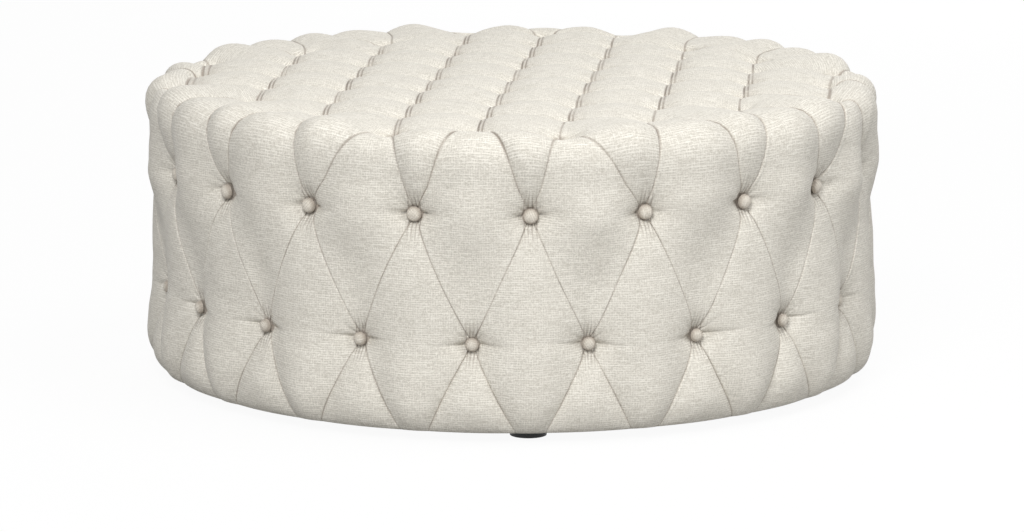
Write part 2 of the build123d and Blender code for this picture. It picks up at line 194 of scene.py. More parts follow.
@dataclass(frozen=True)
class Pattern:
    """Where the buttons sit: a square grid on top and two staggered rings round the side."""

    form: Form
    pitch: float = 0.110
    reach: tuple[int, ...] = (4, 4, 3, 2, 1)
    ring_count: int = 20
    upper_height: float = 0.303
    lower_height: float = 0.132
    hem_height: float = 0.0136
    hem_spread: float = 0.38
    rim_run: tuple[float, float] = (0.37, 0.48)
    rim_sink: float = 0.005

    @property
    def rows(self) -> range:
        """Numbers of the rows of top buttons, 0 in the middle."""
        return range(1 - len(self.reach), len(self.reach))

    @property
    def grid(self) -> list[tuple[int, int]]:
        """Row and place of every top button, row by row."""
        return [(i, j) for i in self.rows for j in self.rows if abs(j) <= self.reach[abs(i)]]

    @property
    def rim(self) -> list[tuple[int, int]]:
        """Row and place of the outermost top buttons, in order round the rim from the +X side.

        Returns:
            A quarter of them, turned by (i, j) to (-j, i) for each further quarter.
        """
        quarter = [(4, 0), (4, 1), (3, 2), (2, 3), (1, 4)]
        order: list[tuple[int, int]] = []
        for _ in range(4):
            order += quarter
            quarter = [(-j, i) for i, j in quarter]
        return order

    def top_spot(self, place: tuple[int, int]) -> Array:
        """Chart spot of a top button."""
        return self.pitch * np.array(place, float)

    def polar(self, height: float, steps: Array) -> Array:
        """Chart spots at one height on the side, at angles in ring steps.

        Args:
            height: Height over the floor.
            steps: Angles from the +X side, in steps between two buttons of a ring.

        Returns:
            Chart coordinates, shape (n, 2).
        """
        run = self.form.way_down_to(height)
        angle = np.asarray(steps, float) * 2 * np.pi / self.ring_count
        return np.stack([run * np.cos(angle), run * np.sin(angle)], axis=-1)

    @property
    def upper(self) -> Array:
        """Chart spots of the upper ring."""
        return self.polar(self.upper_height, np.arange(self.ring_count) + 0.5)

    @property
    def lower(self) -> Array:
        """Chart spots of the lower ring."""
        return self.polar(self.lower_height, np.arange(self.ring_count))

    def sink(self, spots: Array) -> Array:
        """How much deeper the outermost top buttons sit, known by their way from the middle."""
        run = np.linalg.norm(spots, axis=-1)
        return np.where((run > self.rim_run[0]) & (run < self.rim_run[1]), self.rim_sink, 0.0)

    @property
    def top_spots(self) -> Array:
        """Chart spots of all top buttons."""
        return np.array([self.top_spot(place) for place in self.grid])


@dataclass
class Pillow:
    """One pillow of the tufting, as a grid over the chart.

    Attributes:
        chart: Chart coordinates, shape (rows, columns, 2).
        crown: Share of the full crown, 0 on the seams, shape (rows, columns).
        seams: Which edges are seams: first column, last column, first row, last row.
        weave: Which way the threads run.
        hem: Whether the last row is the hem.
        overhang: How much further out it stands for each metre above its middle, and between which heights.
    """

    chart: Array
    crown: Array
    seams: tuple[bool, bool, bool, bool]
    weave: Weave
    hem: bool = False
    overhang: tuple[float, float, float] = (0.0, 0.0, 0.0)


@dataclass(frozen=True)
class Sheeting:
    """Rules that lay the cover's pillows over the chart."""

    form: Form
    pattern: Pattern
    swell: float = 1.02
    tip_narrowing: float = 0.3
    hem_fullness: float = 1.1
    diamond_overhang: tuple[float, float, float] = (0.27, -0.20, 0.012)
    skirt_overhang: tuple[float, float, float] = (-0.060, -0.05, 0.09)

    @property
    def stations(self) -> Array:
        """Shares from seam to seam, fine at both ends where the cloth folds.

        Returns:
            The sums of growing gaps up to one half, then the same mirrored.
        """
        fine = [0, 0.4, 0.5, 0.6, 0.8, 0.9, 0.9, 0.9, 0.9]
        near = np.cumsum(np.concatenate([fine, np.linspace(1.0, 2.2, 8), np.linspace(2.8, 6.2, 8)]))
        near = 0.5 * near / near[-1]
        return np.concatenate([near, 1 - near[-2::-1]])

    def rise(self, shares: Array) -> Array:
        """Crown profile between two seams: (4 s (1 - s)) ** swell."""
        return np.clip(4 * shares * (1 - shares), 0, 1) ** self.swell

    def patch(self, left: Array, right: Array, top: Array, bottom: Array, down: Array) -> Array:
        """Grid between four edges in the chart: the sum of both straight blends less the corners' blend.

        Args:
            left: First column, shape (rows, 2).
            right: Last column, shape (rows, 2).
            top: First row, shape (columns, 2).
            bottom: Last row, shape (columns, 2).
            down: Shares of the way down, shape (rows,).

        Returns:
            Chart coordinates, shape (rows, columns, 2).
        """
        p = self.stations[None, :, None]
        q = down[:, None, None]
        sides = (1 - p) * left[:, None] + p * right[:, None]
        ends = (1 - q) * top[None] + q * bottom[None]
        corners = (1 - q) * ((1 - p) * top[0] + p * top[-1]) + q * ((1 - p) * bottom[0] + p * bottom[-1])
        return sides + ends - corners

    def square(self, a: Array, b: Array, c: Array, d: Array, weave: Weave) -> Pillow:
        """Four-cornered pillow, its crown the product of the profiles across and down.

        Args:
            a: Upper left corner.
            b: Upper right corner.
            c: Lower left corner.
            d: Lower right corner.
            weave: Which way the threads run.

        Returns:
            The pillow.
        """
        s, seam = self.stations, self.form.between
        chart = self.patch(seam(a, c, s), seam(b, d, s), seam(a, b, s), seam(c, d, s), s)
        crown = self.rise(s)[None, :] * self.rise(s)[:, None]
        return Pillow(chart, crown, (True, True, True, True), weave)

    def wedge(self, a: Array, b: Array, tip: Array) -> Pillow:
        """Three-cornered pillow over the rim, its crown narrowed to the tip by (1 - s) ** tip_narrowing.

        Args:
            a: Upper left corner.
            b: Upper right corner.
            tip: Lower corner, at an upper side button.

        Returns:
            The pillow.
        """
        s, seam = self.stations, self.form.between
        point = np.repeat(tip[None], len(s), axis=0)
        chart = self.patch(seam(a, tip, s), seam(b, tip, s), seam(a, b, s), point, s)
        crown = self.rise(s)[None, :] * (self.rise(s) * (1 - s) ** self.tip_narrowing)[:, None]
        return Pillow(chart, crown, (True, True, True, False), Weave.ROUND)

    def gusset(self, tip: Array, left: Array, right: Array) -> Pillow:
        """Three-cornered pillow down to the hem, its crown rising by (s (2 - s)) ** hem_fullness.

        Args:
            tip: Upper corner, at a lower side button.
            left: Left corner on the hem.
            right: Right corner on the hem.

        Returns:
            The pillow.
        """
        s, seam = self.stations, self.form.between
        point = np.repeat(tip[None], len(s), axis=0)
        chart = self.patch(seam(tip, left, s), seam(tip, right, s), point, seam(left, right, s), s)
        crown = self.rise(s)[None, :] * (s * (2 - s))[:, None] ** self.hem_fullness
        return Pillow(chart, crown, (True, True, False, False), Weave.ROUND, hem=True)

    def skirt(self, tip: Array, near: Array, far: Array, left: Array, right: Array) -> Pillow:
        """Five-cornered pillow down to the hem, full from the lower buttons on, as the gusset's crown is.

        Args:
            tip: Upper corner, at an upper side button.
            near: Left corner, at a lower side button.
            far: Right corner, at the next lower side button.
            left: Left corner on the hem.
            right: Right corner on the hem.

        Returns:
            The pillow.
        """
        s, seam = self.stations, self.form.between
        ways = ((near, left), (far, right))
        two = [np.concatenate([seam(tip, side, s), seam(side, end, s)[1:]]) for side, end in ways]
        way = np.concatenate([s, 1 + s[1:]])
        point = np.repeat(tip[None], len(s), axis=0)
        chart = self.patch(two[0], two[1], point, seam(left, right, s), way / 2)
        start = np.minimum(way, 1)
        crown = self.rise(s)[None, :] * (start * (2 - start))[:, None] ** self.hem_fullness
        return Pillow(chart, crown, (True, True, False, False), Weave.ROUND, True, self.skirt_overhang)

    def pillows(self) -> list[Pillow]:
        """Every pillow of the cover.

        Returns:
            The top's, then the rim's and the diamonds by turns, then those down to the hem.
        """
        pattern, spread = self.pattern, self.pattern.hem_spread
        grid, rim, upper, lower = pattern.grid, pattern.rim, pattern.upper, pattern.lower
        made = []
        for i, j in grid:
            corners = [(i, j), (i + 1, j), (i, j + 1), (i + 1, j + 1)]
            if all(corner in grid for corner in corners):
                made.append(self.square(*(pattern.top_spot(c) for c in corners), Weave.SQUARE))
        for k in range(pattern.ring_count):
            p, q = rim[k], rim[(k + 1) % pattern.ring_count]
            a, b = pattern.top_spot(p), pattern.top_spot(q)
            if abs(p[0] - q[0]) + abs(p[1] - q[1]) == 1:
                made.append(self.wedge(a, b, upper[k]))
            else:
                inner = min((p[0], q[1]), (q[0], p[1]), key=lambda spot: np.hypot(*spot))
                made.append(self.square(pattern.top_spot(inner), b, a, upper[k], Weave.ROUND))
            diamond = self.square(a, upper[k], upper[k - 1], lower[k], Weave.ROUND)
            diamond.overhang = self.diamond_overhang
            made.append(diamond)
        for k in range(pattern.ring_count):
            hem = pattern.polar(pattern.hem_height, np.array([k - spread, k + spread, k + 1 - spread]))
            far = lower[(k + 1) % pattern.ring_count]
            made.append(self.gusset(lower[k], hem[0], hem[1]))
            made.append(self.skirt(upper[k], lower[k], far, hem[1], hem[2]))
        return made


@dataclass
class LinenCover:
    """The sewn linen cover, drawn down at its buttons and turned under at its hem.

    A funnel is the share of the near pull, its reach and the far pull's reach. A belt is a depth, a level and
    a spread. Fullness is the height, length and number of sines of each relief. A width is how wide a fold
    starts above and below its line, and how much wider it gets for each metre. Fan and tucks are the angles
    round a button, the least and most depth, and the least and most length.
    """

    form: Form
    pattern: Pattern
    top_crown: float = 0.038
    side_crown: float = 0.0358
    top_seam: float = 0.0290
    side_seam: float = 0.0243
    shoulder: float = 0.52
    seat: float = 0.0052
    seat_radius: float = 0.0088
    lower_scale: float = 1.12
    top_funnel: tuple[float, float, float] = (0.90, 0.0078, 0.024)
    rim_funnel: tuple[float, float, float] = (0.74, 0.0100, 0.028)
    rim_steepness: float = 2.0
    side_funnel: tuple[float, float, float] = (0.62, 0.0145, 0.041)
    lower_belt: tuple[float, float, float] = (0.0105, 0.148, 0.064)
    upper_belt: tuple[float, float, float] = (0.0022, 0.308, 0.028)
    belt_start: float = 0.15
    pull_reach: float = 0.19
    pull_depth: float = 0.03
    pull_join: int = 3
    hem_lift: float = 0.007
    hem_round: float = 0.054
    groove: float = 0.0011
    groove_width: float = 0.0011
    pleat: float = 0.0052
    pleat_rise: float = 0.0006
    pleat_softness: float = 0.3
    pleat_groove: float = 0.45
    side_pleats: float = 0.25
    fullness: tuple[tuple, tuple] = ((0.0042, 0.15, 14), (0.0024, 0.055, 18))
    wave_range: tuple[float, float] = (0.7, 1.4)
    dart_depth: tuple[float, float] = (0.0120, 0.0175)
    dart_length: tuple[float, float] = (0.013, 0.019)
    dart_start: float = 0.0030
    dart_reach: float = 0.006
    dart_rise: tuple[float, float] = (-3, 9)
    dart_width: tuple[float, float, float, float] = (0.0022, 0.0064, 0.07, 0.10)
    fan: tuple[tuple, tuple, tuple] = ((40, 60, 80, 100, 120, 140), (0.0030, 0.0060), (0.009, 0.015))
    tucks: tuple[tuple, tuple, tuple] = ((-112, -98, -84, -70), (0.0018, 0.0034), (0.010, 0.016))
    fine_turn: float = 5
    fine_width: tuple[float, float, float, float] = (0.0009, 0.0009, 0.09, 0.09)
    turned: tuple[tuple[float, float], ...] = (
        (0.47, 0.016),
        (0.44, 0.016),
        (0.4, 0.016),
        (0.4, 0.0172),
        (0.2, 0.0172),
        (0, 0.0172),
    )
    no_seam: float = 0.05
    seed: int = 7
    name: str = "linen_cover"
    random: np.random.Generator = field(init=False)

    def __post_init__(self) -> None:
        """Start the cover's own chance numbers."""
        self.random = np.random.default_rng(self.seed)

    def seam_distance(self, pillow: Pillow) -> Array:
        """Distance to each seam edge of a pillow, far away where an edge is no seam.

        The distance to the first column is p |Pp x Pq| / |Pq|, with p the share of the way across and Pp and
        Pq the steps of the form across and down, and so on for the others.

        Args:
            pillow: The pillow.

        Returns:
            Distances, shape (4, rows, columns).
        """
        base = self.form.place(pillow.chart, np.zeros(pillow.chart.shape[:2]))
        rows, columns = base.shape[:2]
        s = Sheeting(self.form, self.pattern).stations
        down = s if rows == len(s) else np.concatenate([s, 1 + s[1:]])
        across = np.gradient(base, s, axis=1)
        along = np.gradient(base, down, axis=0)
        area = np.linalg.norm(np.cross(across, along), axis=-1)
        per_p = area / np.maximum(np.linalg.norm(along, axis=-1), 1e-9)
        per_q = area / np.maximum(np.linalg.norm(across, axis=-1), 1e-9)
        p = np.broadcast_to(s[None, :], (rows, columns))
        q = np.broadcast_to(down[:, None], (rows, columns))
        found = np.stack([p * per_p, (1 - p) * per_p, q * per_q, (1 - q) * per_q])
        found[~np.array(pillow.seams)] = 1.0
        return found

    def fold(self, distance: Array, pleated: bool) -> Array:
        """Height of the stitched seam, and of its pleat where there is one, at distances w from the seams.

        The seam is -groove exp(-w / width). On its flap side a pleat ends at w = pleat with a lesser groove:
        rise s(w) - share of groove exp(-((w - pleat) / width) ** 2), with s a smooth step down at its edge.

        Args:
            distance: Distances to the four edges, shape (4, rows, columns).
            pleated: Whether the first column's seam has a pleat.

        Returns:
            Heights, shape (rows, columns).
        """
        nearest = distance.min(axis=0)
        crease = -self.groove * np.exp(-nearest / self.groove_width)
        flap = distance[0]
        step = 1 / (1 + np.exp((flap - self.pleat) / (self.pleat_softness * self.groove_width)))
        edge = np.exp(-(((flap - self.pleat) / self.groove_width) ** 2))
        clear = 1 - np.exp(-((nearest / self.groove_width) ** 2))
        return crease + pleated * clear * (self.pleat_rise * step - self.pleat_groove * self.groove * edge)

    def overhang(self, pillows: list[Pillow]) -> Array:
        """How much further out points stand: share clip(height over the pillow's middle, lowest, highest).

        Args:
            pillows: Every pillow of the cover.

        Returns:
            Distances for all their points, shape (n,).
        """
        found = []
        for pillow in pillows:
            height = self.form.height(pillow.chart)
            middle = height[height.shape[0] // 2, height.shape[1] // 2]
            share, lowest, highest = pillow.overhang
            found.append(share * np.clip(height - middle, lowest, highest).ravel())
        return np.concatenate(found)

    def waves(self, points: Array, length: float, count: int) -> Array:
        """Smooth chance relief: the mean of sines in chance directions.

        Args:
            points: Points, shape (n, 3).
            length: Distance from crest to crest, on average.
            count: Number of sines.

        Returns:
            Heights, shape (n,).
        """
        ways = self.random.normal(size=(count, 3))
        ways /= np.linalg.norm(ways, axis=1, keepdims=True)
        scale = self.random.uniform(*self.wave_range, count) * length
        phase = self.random.uniform(0, 2 * np.pi, count)
        return np.sin(2 * np.pi * (points @ ways.T) / scale + phase).mean(axis=-1)

    def buttons(self) -> Array:
        """Chart spots of every button, top ones first."""
        return np.concatenate([self.pattern.top_spots, self.pattern.upper, self.pattern.lower])

    def drawn_in(self, points: Array) -> tuple[Array, Array]:
        """Draw the full cover in to its buttons, each along its own axis, and find the darts round them.

        A button's pull is g = a exp(-r / near) + (1 - a) exp(-r / far), with r the distance past its edge,
        square to its axis. That distance counts for more on the outer side of the outermost top buttons,
        where the rim stands up in front of them. Several pulls join as (sum of g ** 3) ** (1 / 3), and move a
        point down by that share of its height over the seats, their mean by g ** 3.

        Args:
            points: The points of the full cover, shape (n, 3).

        Returns:
            The moved points, and the depth of the darts there.
        """
        spots = self.buttons()
        seats = self.form.place(spots, self.seat - self.pattern.sink(spots))
        on_top = len(self.pattern.grid)
        rim = self.pattern.sink(spots) > 0
        weight = np.full(len(points), 1e-12)
        moves = np.zeros(points.shape)
        creases = np.zeros(len(points))
        for n, (spot, seat) in enumerate(zip(spots, seats)):
            close = np.flatnonzero(np.abs(points - seat).max(axis=1) < self.pull_reach)
            out = self.form.outward(spot)
            offset = points[close] - seat
            above = offset @ out
            level = offset - above[:, None] * out
            aside = np.linalg.norm(level, axis=1)
            deep = np.maximum(-self.pull_depth - above, 0)
            past = np.maximum(aside - self.seat_radius, 0) + deep
            if rim[n]:
                outer = level[:, :2] @ spot / np.hypot(*spot) / np.maximum(aside, 1e-6)
                past = past * (1 + self.rim_steepness * np.clip(outer, 0, 1))
            funnel = self.side_funnel if n >= on_top else self.rim_funnel if rim[n] else self.top_funnel
            share, near, far = funnel
            pull = (share * np.exp(-past / near) + (1 - share) * np.exp(-past / far)) ** self.pull_join
            weight[close] += pull
            moves[close] -= (pull * np.maximum(above, 0))[:, None] * out
            if n >= on_top:
                across, up = self.tangents(spot)
                creases[close] += self.darts(offset @ across, offset @ up, aside)
        joined = np.minimum(weight, 1)[:, None] ** (1 / self.pull_join)
        return points + moves / weight[:, None] * joined, creases

    def tangents(self, spot: Array) -> tuple[Array, Array]:
        """Directions across and up the cover at a button: X and Y on top, level and upright on the side.

        Args:
            spot: Chart spot of the button.

        Returns:
            Two unit directions.
        """
        out = self.form.outward(spot)
        if out[2] > 0.5:
            return np.array([1.0, 0, 0]), np.array([0, 1.0, 0])
        across = np.array([-out[1], out[0], 0]) / np.hypot(out[0], out[1])
        return across, np.cross(out, across)

    def darts(self, u: Array, v: Array, r: Array) -> Array:
        """Depth of the folds round one side button, at places u across and v up from it.

        Each fold is A (1 - exp(-past / start)) exp(-past / length) exp(-off / (width + spread past)), with
        past the way out from the button's edge and off the way across the fold. The two level folds are wide
        and lie over a ledge. The fan above the button and the tucks below it are fine.

        Args:
            u: Way across from the button.
            v: Way up from the button.
            r: Distance from the button's axis.

        Returns:
            Depth of the folds.
        """
        chance = self.random
        folds = []
        for angle, turn in ((0, 1), (180, -1)):
            angle += turn * chance.uniform(*self.dart_rise)
            size = chance.uniform(*self.dart_depth), chance.uniform(*self.dart_length)
            folds.append((angle, *size, self.dart_width))
        for angles, depths, lengths in (self.fan, self.tucks):
            for angle in angles:
                angle += chance.normal(0, self.fine_turn)
                folds.append((angle, chance.uniform(*depths), chance.uniform(*lengths), self.fine_width))
        depth_here = np.zeros(len(u))
        past = np.maximum(r - self.seat_radius, 0)
        for angle, depth, length, (above, below, above_spread, below_spread) in folds:
            way = np.radians(angle)
            along = u * np.cos(way) + v * np.sin(way)
            off = (v * np.cos(way) - u * np.sin(way)) * (1.0 if np.cos(way) > 0 else -1.0)
            width = np.where(off > 0, above + above_spread * past, below + below_spread * past)
            begun = 1 - np.exp(-past / self.dart_start)
            shape = begun * np.exp(-past / length) * np.exp(-np.abs(off) / width)
            depth_here += depth * shape * np.clip(along / self.dart_reach, 0, 1)
        return depth_here

    def build(self) -> bpy.types.Object:
        """A point stands out from the form by seam lift + (crown lift - seam lift) crown + overhang. Two belts
        draw it in towards the -X side, each by depth exp(-((height - level) / spread) ** 2), and it rounds in
        to the hem by the square root of 1 - over ** 2. The buttons then draw it in, and seams, darts and
        fullness go on square to the form.

        Returns:
            The cover's object.
        """
        pillows = Sheeting(self.form, self.pattern).pillows()
        charts = [pillow.chart.reshape(-1, 2) for pillow in pillows]
        chart = np.concatenate(charts)
        crown = np.concatenate([pillow.crown.ravel() for pillow in pillows])
        gaps = [self.seam_distance(pillow) for pillow in pillows]
        pleated = [p.weave is Weave.SQUARE or self.random.uniform() < self.side_pleats for p in pillows]
        fold = np.concatenate([self.fold(gap, flap).ravel() for gap, flap in zip(gaps, pleated)])

        base = self.form.place(chart, np.zeros(len(chart)))
        lean = self.form.lean(chart)
        side = np.sin(lean) ** 2
        swell = 1 + self.shoulder * np.sin(2 * lean) ** 2
        seam_lift = (self.top_seam + (self.side_seam - self.top_seam) * side) * swell
        crown_lift = (self.top_crown + (self.side_crown - self.top_crown) * side) * swell
        height = self.form.height(chart)
        lift = seam_lift + (crown_lift - seam_lift) * crown
        lift = lift + crown * self.overhang(pillows)
        drawn = np.clip(self.belt_start - chart[:, 0] / self.form.side_radius, 0, 1)
        for depth, level, spread in (self.lower_belt, self.upper_belt):
            lift = lift - depth * drawn * side * np.exp(-(((height - level) / spread) ** 2))
        over = np.clip((self.pattern.hem_height + self.hem_round - height) / self.hem_round, 0, 1)
        lift = self.hem_lift + (lift - self.hem_lift) * np.sqrt(1 - over**2)
        points, creases = self.drawn_in(self.form.place(chart, lift))
        uneven = sum(size * self.waves(base, length, count) for size, length, count in self.fullness)
        relief = (fold - creases + uneven * np.sqrt(crown)) * np.sqrt(1 - over**2)
        points = points + relief[:, None] * self.form.outward(chart)

        maker = MeshMaker(self.name)
        start = 0
        for pillow, gap in zip(pillows, gaps):
            rows, columns = pillow.crown.shape
            count = rows * columns
            part = slice(start, start + count)
            grid = points[part].reshape(rows, columns, 3)
            places = self.threads(pillow, chart[part]).reshape(rows, columns, 2)
            pleat_side = gap[0] if pillow.weave is Weave.SQUARE else np.full(gap[0].shape, self.no_seam)
            seams = np.stack([gap.min(axis=0), pleat_side], axis=-1)
            maker.grid(grid, places, np.minimum(seams, self.no_seam))
            if pillow.hem:
                self.turn_under(maker, grid[-1])
            start += count
        maker.puckers = self.pucker_places
        piece = maker.finish()
        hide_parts("tufted_cover", "top_foam", "side_foam")
        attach(piece, "root")
        log.info("%s: %d pillows, %d faces", self.name, len(pillows), len(piece.data.polygons))
        return piece

    def pucker_places(self, faces: Array) -> Array:
        """Places across and up from the nearest button, in metres, for the corners of faces.

        They are scaled up round the lower buttons, which are smaller.

        Args:
            faces: Corner points of the faces, shape (n, 4, 3).

        Returns:
            Places, shape (n, 4, 2).
        """
        spots = self.buttons()
        seats = self.form.place(spots, self.seat - self.pattern.sink(spots))
        frames = np.array([self.tangents(spot) for spot in spots])
        middles = faces.mean(axis=1)
        best = np.full(len(middles), np.inf)
        nearest = np.zeros(len(middles), int)
        for n, seat in enumerate(seats):
            distance = ((middles - seat) ** 2).sum(axis=1)
            closer = distance < best
            best[closer], nearest[closer] = distance[closer], n
        offset = faces - seats[nearest][:, None]
        size = np.where(nearest < len(spots) - self.pattern.ring_count, 1.0, self.lower_scale)
        return np.einsum("nck,nak->nca", offset, frames[nearest]) * size[:, None, None]

    def threads(self, pillow: Pillow, chart: Array) -> Array:
        """Places along and across the threads, in metres: x and y on top, arc and way down on the side.

        Args:
            pillow: The pillow.
            chart: Its chart coordinates, shape (n, 2).

        Returns:
            Places, shape (n, 2).
        """
        if pillow.weave is Weave.SQUARE:
            return chart
        middle = pillow.chart[pillow.chart.shape[0] // 2, pillow.chart.shape[1] // 2]
        facing = np.arctan2(middle[1], middle[0])
        turn = (np.arctan2(chart[:, 1], chart[:, 0]) - facing + np.pi) % (2 * np.pi) - np.pi
        down = np.linalg.norm(chart, axis=1) + self.side_seam * self.form.lean(chart)
        return np.stack([turn * self.form.side_radius + facing, down], axis=-1)

    def turn_under(self, maker: "MeshMaker", edge: Array) -> None:
        """Add the cloth turned under from a stretch of the hem to the middle, where the dust cover hides it.

        Each row has the radius and height of a step of turned, in the hem's own directions.

        Args:
            maker: The cover's mesh.
            edge: Points of the hem, shape (n, 3).
        """
        way = edge[:, :2] / np.linalg.norm(edge[:, :2], axis=1, keepdims=True)
        rows = [edge]
        for radius, height in self.turned:
            rows.append(np.concatenate([way * radius, np.full((len(way), 1), height)], axis=1))
        grid = np.stack(rows)
        maker.grid(grid, grid[..., :2], np.full((*grid.shape[:2], 2), self.no_seam))


class MeshMaker:
    """Gathers grids of points into one closed mesh.

    Attributes:
        puckers: Works out places round the nearest button from the corners of faces, or none.
        middle: Point that a grid faces away from.
    """

    middle: tuple[float, float, float] = (0, 0, 0.2)

    def __init__(self, name: str) -> None:
        """Start an empty mesh.

        Args:
            name: Name of the piece.
        """
        self.name = name
        self.points: list[Array] = []
        self.faces: list[Array] = []
        self.threads: list[Array] = []
        self.seams: list[Array] = []
        self.puckers: Callable[[Array], Array] | None = None
        self.count = 0

    def grid(self, points: Array, threads: Array, seams: Array, outward: bool | None = None) -> None:
        """Add one grid, turned so that its faces point away from the middle of the table.

        Args:
            points: Points, shape (rows, columns, 3).
            threads: Places on the cloth, shape (rows, columns, 2).
            seams: Distances to the nearest seam and to the pleat's seam, or on a button the depth under its
                top, twice, shape (rows, columns, 2).
            outward: Whether the grid already faces outwards, or None to find out.
        """
        rows, columns = points.shape[:2]
        number = np.arange(rows * columns).reshape(rows, columns) + self.count
        corners = number[:-1, :-1], number[:-1, 1:], number[1:, 1:], number[1:, :-1]
        faces = np.stack(corners, axis=-1).reshape(-1, 4)
        if outward is None:
            a, b = points[1:, 1:] - points[:-1, :-1], points[1:, :-1] - points[:-1, 1:]
            normal = np.cross(a, b).sum(axis=(0, 1))
            outward = normal @ (points.mean(axis=(0, 1)) - np.array(self.middle)) > 0
        self.points.append(points.reshape(-1, 3))
        self.faces.append(faces if outward else faces[:, ::-1])
        self.threads.append(threads.reshape(-1, 2))
        self.seams.append(seams.reshape(-1, 2))
        self.count += rows * columns

    def finish(self, weld: float = 2e-5) -> bpy.types.Object:
        """Weld the grids and make the object.

        Args:
            weld: Distance under which two points become one.

        Returns:
            The object, its cloth places, seam distances and button places in UV maps of those names.
        """
        points, faces = np.concatenate(self.points), np.concatenate(self.faces)
        mesh = bpy.data.meshes.new(self.name)
        mesh.from_pydata(points, [], faces)
        maps = {"threads": np.concatenate(self.threads)[faces], "seams": np.concatenate(self.seams)[faces]}
        if self.puckers:
            maps["puckers"] = self.puckers(points[faces])
        for name, places in maps.items():
            mesh.uv_layers.new(name=name).data.foreach_set("uv", places.astype(np.float32).ravel())
        piece = bpy.data.objects.new(self.name, mesh)
        bpy.context.scene.collection.objects.link(piece)
        work = bmesh.new()
        work.from_mesh(mesh)
        bmesh.ops.remove_doubles(work, verts=work.verts, dist=weld)
        work.to_mesh(mesh)
        work.free()
        mesh.shade_smooth()
        return piece


@dataclass
class CoveredButtons:
    """The covered buttons, as one piece for each node of solids."""

    form: Form
    pattern: Pattern
    radius: float = 0.0100
    lower_radius: float = 0.0089
    rest: float = 0.0086
    edge: float = 0.0022
    dome: float = 0.0070
    dome_share: float = 0.975
    round_edge: tuple[tuple, ...] = ((0.0, 0.0), (0.86, 0.0), (0.96, 0.16), (1.0, 0.5), (0.995, 0.8))
    sides: int = 28
    tilt: float = 0.035
    unevenness: float = 0.0003
    seed: int = 11

    def profile(self) -> Array:
        """Radius and height of one button from its underside, round its edge and over its dome.

        The dome is height = edge + dome cos(t) at radius dome_share r sin(t), with t from a right angle to 0.
        Below it, round_edge gives shares of the radius and of the edge's height.

        Returns:
            Radius and height, shape (n, 2).
        """
        t = np.linspace(np.pi / 2, 0, 8)
        radius = self.radius * self.dome_share * np.sin(t)
        dome = np.stack([radius, self.edge + self.dome * np.cos(t)], axis=-1)
        under = np.array(self.round_edge) * [self.radius, self.edge]
        return np.concatenate([under, dome])

    def one(self) -> Array:
        """Grid of one button, centred on the origin, its dome up: the profile turned round Z.

        Returns:
            Points, shape (rows, sides + 1, 3).
        """
        turn = np.linspace(0, 2 * np.pi, self.sides + 1)
        profile = self.profile()
        x = profile[:, :1] * np.cos(turn)
        y = profile[:, :1] * np.sin(turn)
        z = np.repeat(profile[:, 1:], len(turn), axis=1)
        return np.stack([x, y, z], axis=-1)

    def build(self, name: str, spots: Array, node: str, chance: np.random.Generator) -> bpy.types.Object:
        """Make the buttons over some spots as one piece that stands for a node.

        Each one is the same grid, tilted and turned by chance. Its depth under the dome's top goes into the
        map that holds the cover's seam distances.

        Args:
            name: Name of the piece.
            spots: Chart spots of its buttons.
            node: Node of solids that it replaces.
            chance: Source of chance numbers for the tilts and turns.

        Returns:
            The piece.
        """
        maker = MeshMaker(name)
        shape = self.one() * (self.lower_radius / self.radius if name == "lower_buttons" else 1.0)
        for spot in spots:
            out = self.form.outward(spot)
            lift = self.rest - self.pattern.sink(spot) + chance.normal(0, self.unevenness)
            seat = self.form.place(spot, lift)
            axis = out + np.append(chance.normal(0, self.tilt, 2), 0)
            axis /= np.linalg.norm(axis)
            helper = np.array([1.0, 0, 0]) if abs(out[2]) > 0.5 else np.array([0, 0, 1.0])
            across = np.cross(helper, axis)
            across /= np.linalg.norm(across)
            up = np.cross(axis, across)
            angle = chance.uniform(0, 2 * np.pi)
            first = across * np.cos(angle) + up * np.sin(angle)
            second = up * np.cos(angle) - across * np.sin(angle)
            points = shape[..., :1] * first + shape[..., 1:2] * second + shape[..., 2:] * axis + seat
            places = shape[..., :2] + chance.uniform(0, 1, 2)
            depth = shape[..., 2:] * (-1, -1) + self.edge + self.dome
            maker.grid(points, places, depth, outward=True)
        piece = maker.finish(weld=1e-5)
        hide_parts(node)
        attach(piece, "root")
        log.info("%s: %d buttons", name, len(spots))
        return piece

    def groups(self) -> list[tuple[str, Array, str]]:
        """Find every piece of buttons, in the order of their chance numbers.

        Returns:
            Name, chart spots and node of each.
        """
        pattern, found = self.pattern, []
        for number, row in enumerate(pattern.rows, 1):
            spots = np.array([pattern.top_spot(place) for place in pattern.grid if place[0] == row])
            found.append((f"top_buttons_{number}", spots, f"top_button_row_{number}"))
        found.append(("upper_buttons", pattern.upper, "upper_side_buttons"))
        found.append(("lower_buttons", pattern.lower, "lower_side_buttons"))
        return found


